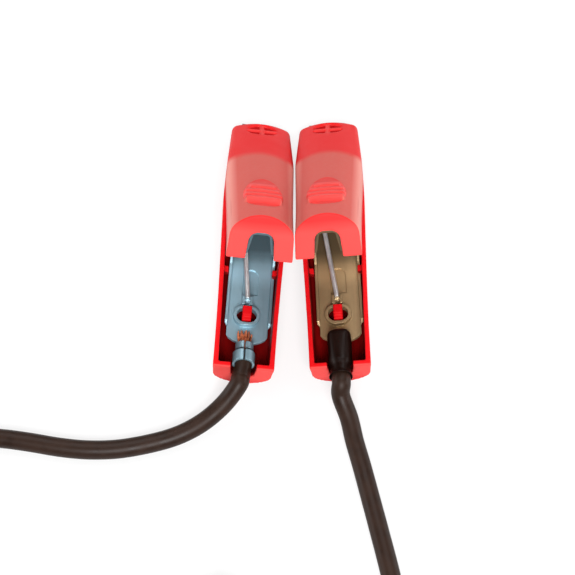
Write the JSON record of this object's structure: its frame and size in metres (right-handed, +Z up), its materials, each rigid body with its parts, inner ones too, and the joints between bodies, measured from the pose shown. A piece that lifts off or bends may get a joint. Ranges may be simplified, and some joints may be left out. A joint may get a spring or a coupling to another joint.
{
  "type": "battery clamp link lead",
  "caption": "Red insulated spring clamps with raised plus marks and plated steel jaws, joined by one black lead whose spare length lies in a tied coil.",
  "frame": {"origin": "on the table, under the middle of the box round the two clamps", "axes": "+Z up, +Y towards the jaws' tips, +X to the right seen from the handles"},
  "size_m": [0.1912, 0.3124, 0.0797],
  "materials": {
    "red_shell": "moulded, satin sheen",
    "zinc_steel": "bright zinc plating",
    "bronze_steel": "yellow-brown passivated plating",
    "copper_wire": "bare stranded copper",
    "lead_jacket": "smooth extruded jacket",
    "shrink_tube": "shrunk tubing",
    "tie_band": "matt"
  },
  "bodies": {
    "lower_halves_and_lead": {"left_lower_shell": "red_shell", "left_lower_jaw": "zinc_steel", "left_pivot_rivet": "zinc_steel", "left_spring": "zinc_steel", "left_copper_strands": "copper_wire", "left_lead_end": "lead_jacket", "right_lower_shell": "red_shell", "right_lower_jaw": "bronze_steel", "right_pivot_rivet": "zinc_steel", "right_spring": "zinc_steel", "right_copper_strands": "copper_wire", "right_lead_end": "lead_jacket", "right_shrink_sleeve": "shrink_tube", "lead_left_run": "lead_jacket", "lead_right_run": "lead_jacket", "lead_coil": "lead_jacket", "coil_tie": "tie_band"},
    "left_upper_half": {"left_upper_shell": "red_shell", "left_upper_jaw": "zinc_steel"},
    "right_upper_half": {"right_upper_shell": "red_shell", "right_upper_jaw": "bronze_steel"}
  },
  "joints": [
    {"name": "left_clamp_hinge", "type": "hinge", "parent": "lower_halves_and_lead", "child": "left_upper_half", "pos_m": [-0.0132, 0.0221, 0.01714], "axis": [0.9924, -0.0556, -0.1099], "range_deg": [0, 35], "stiffness_Nm_per_rad": 2, "springref_deg": -20.05, "deforming": ["left_spring"]},
    {"name": "right_clamp_hinge", "type": "hinge", "parent": "lower_halves_and_lead", "child": "right_upper_half", "pos_m": [0.01575, 0.0229, 0.0171], "axis": [0.995, 0.0296, 0.0952], "range_deg": [0, 35], "stiffness_Nm_per_rad": 2, "springref_deg": -20.05, "deforming": ["right_spring"]}
  ]
}
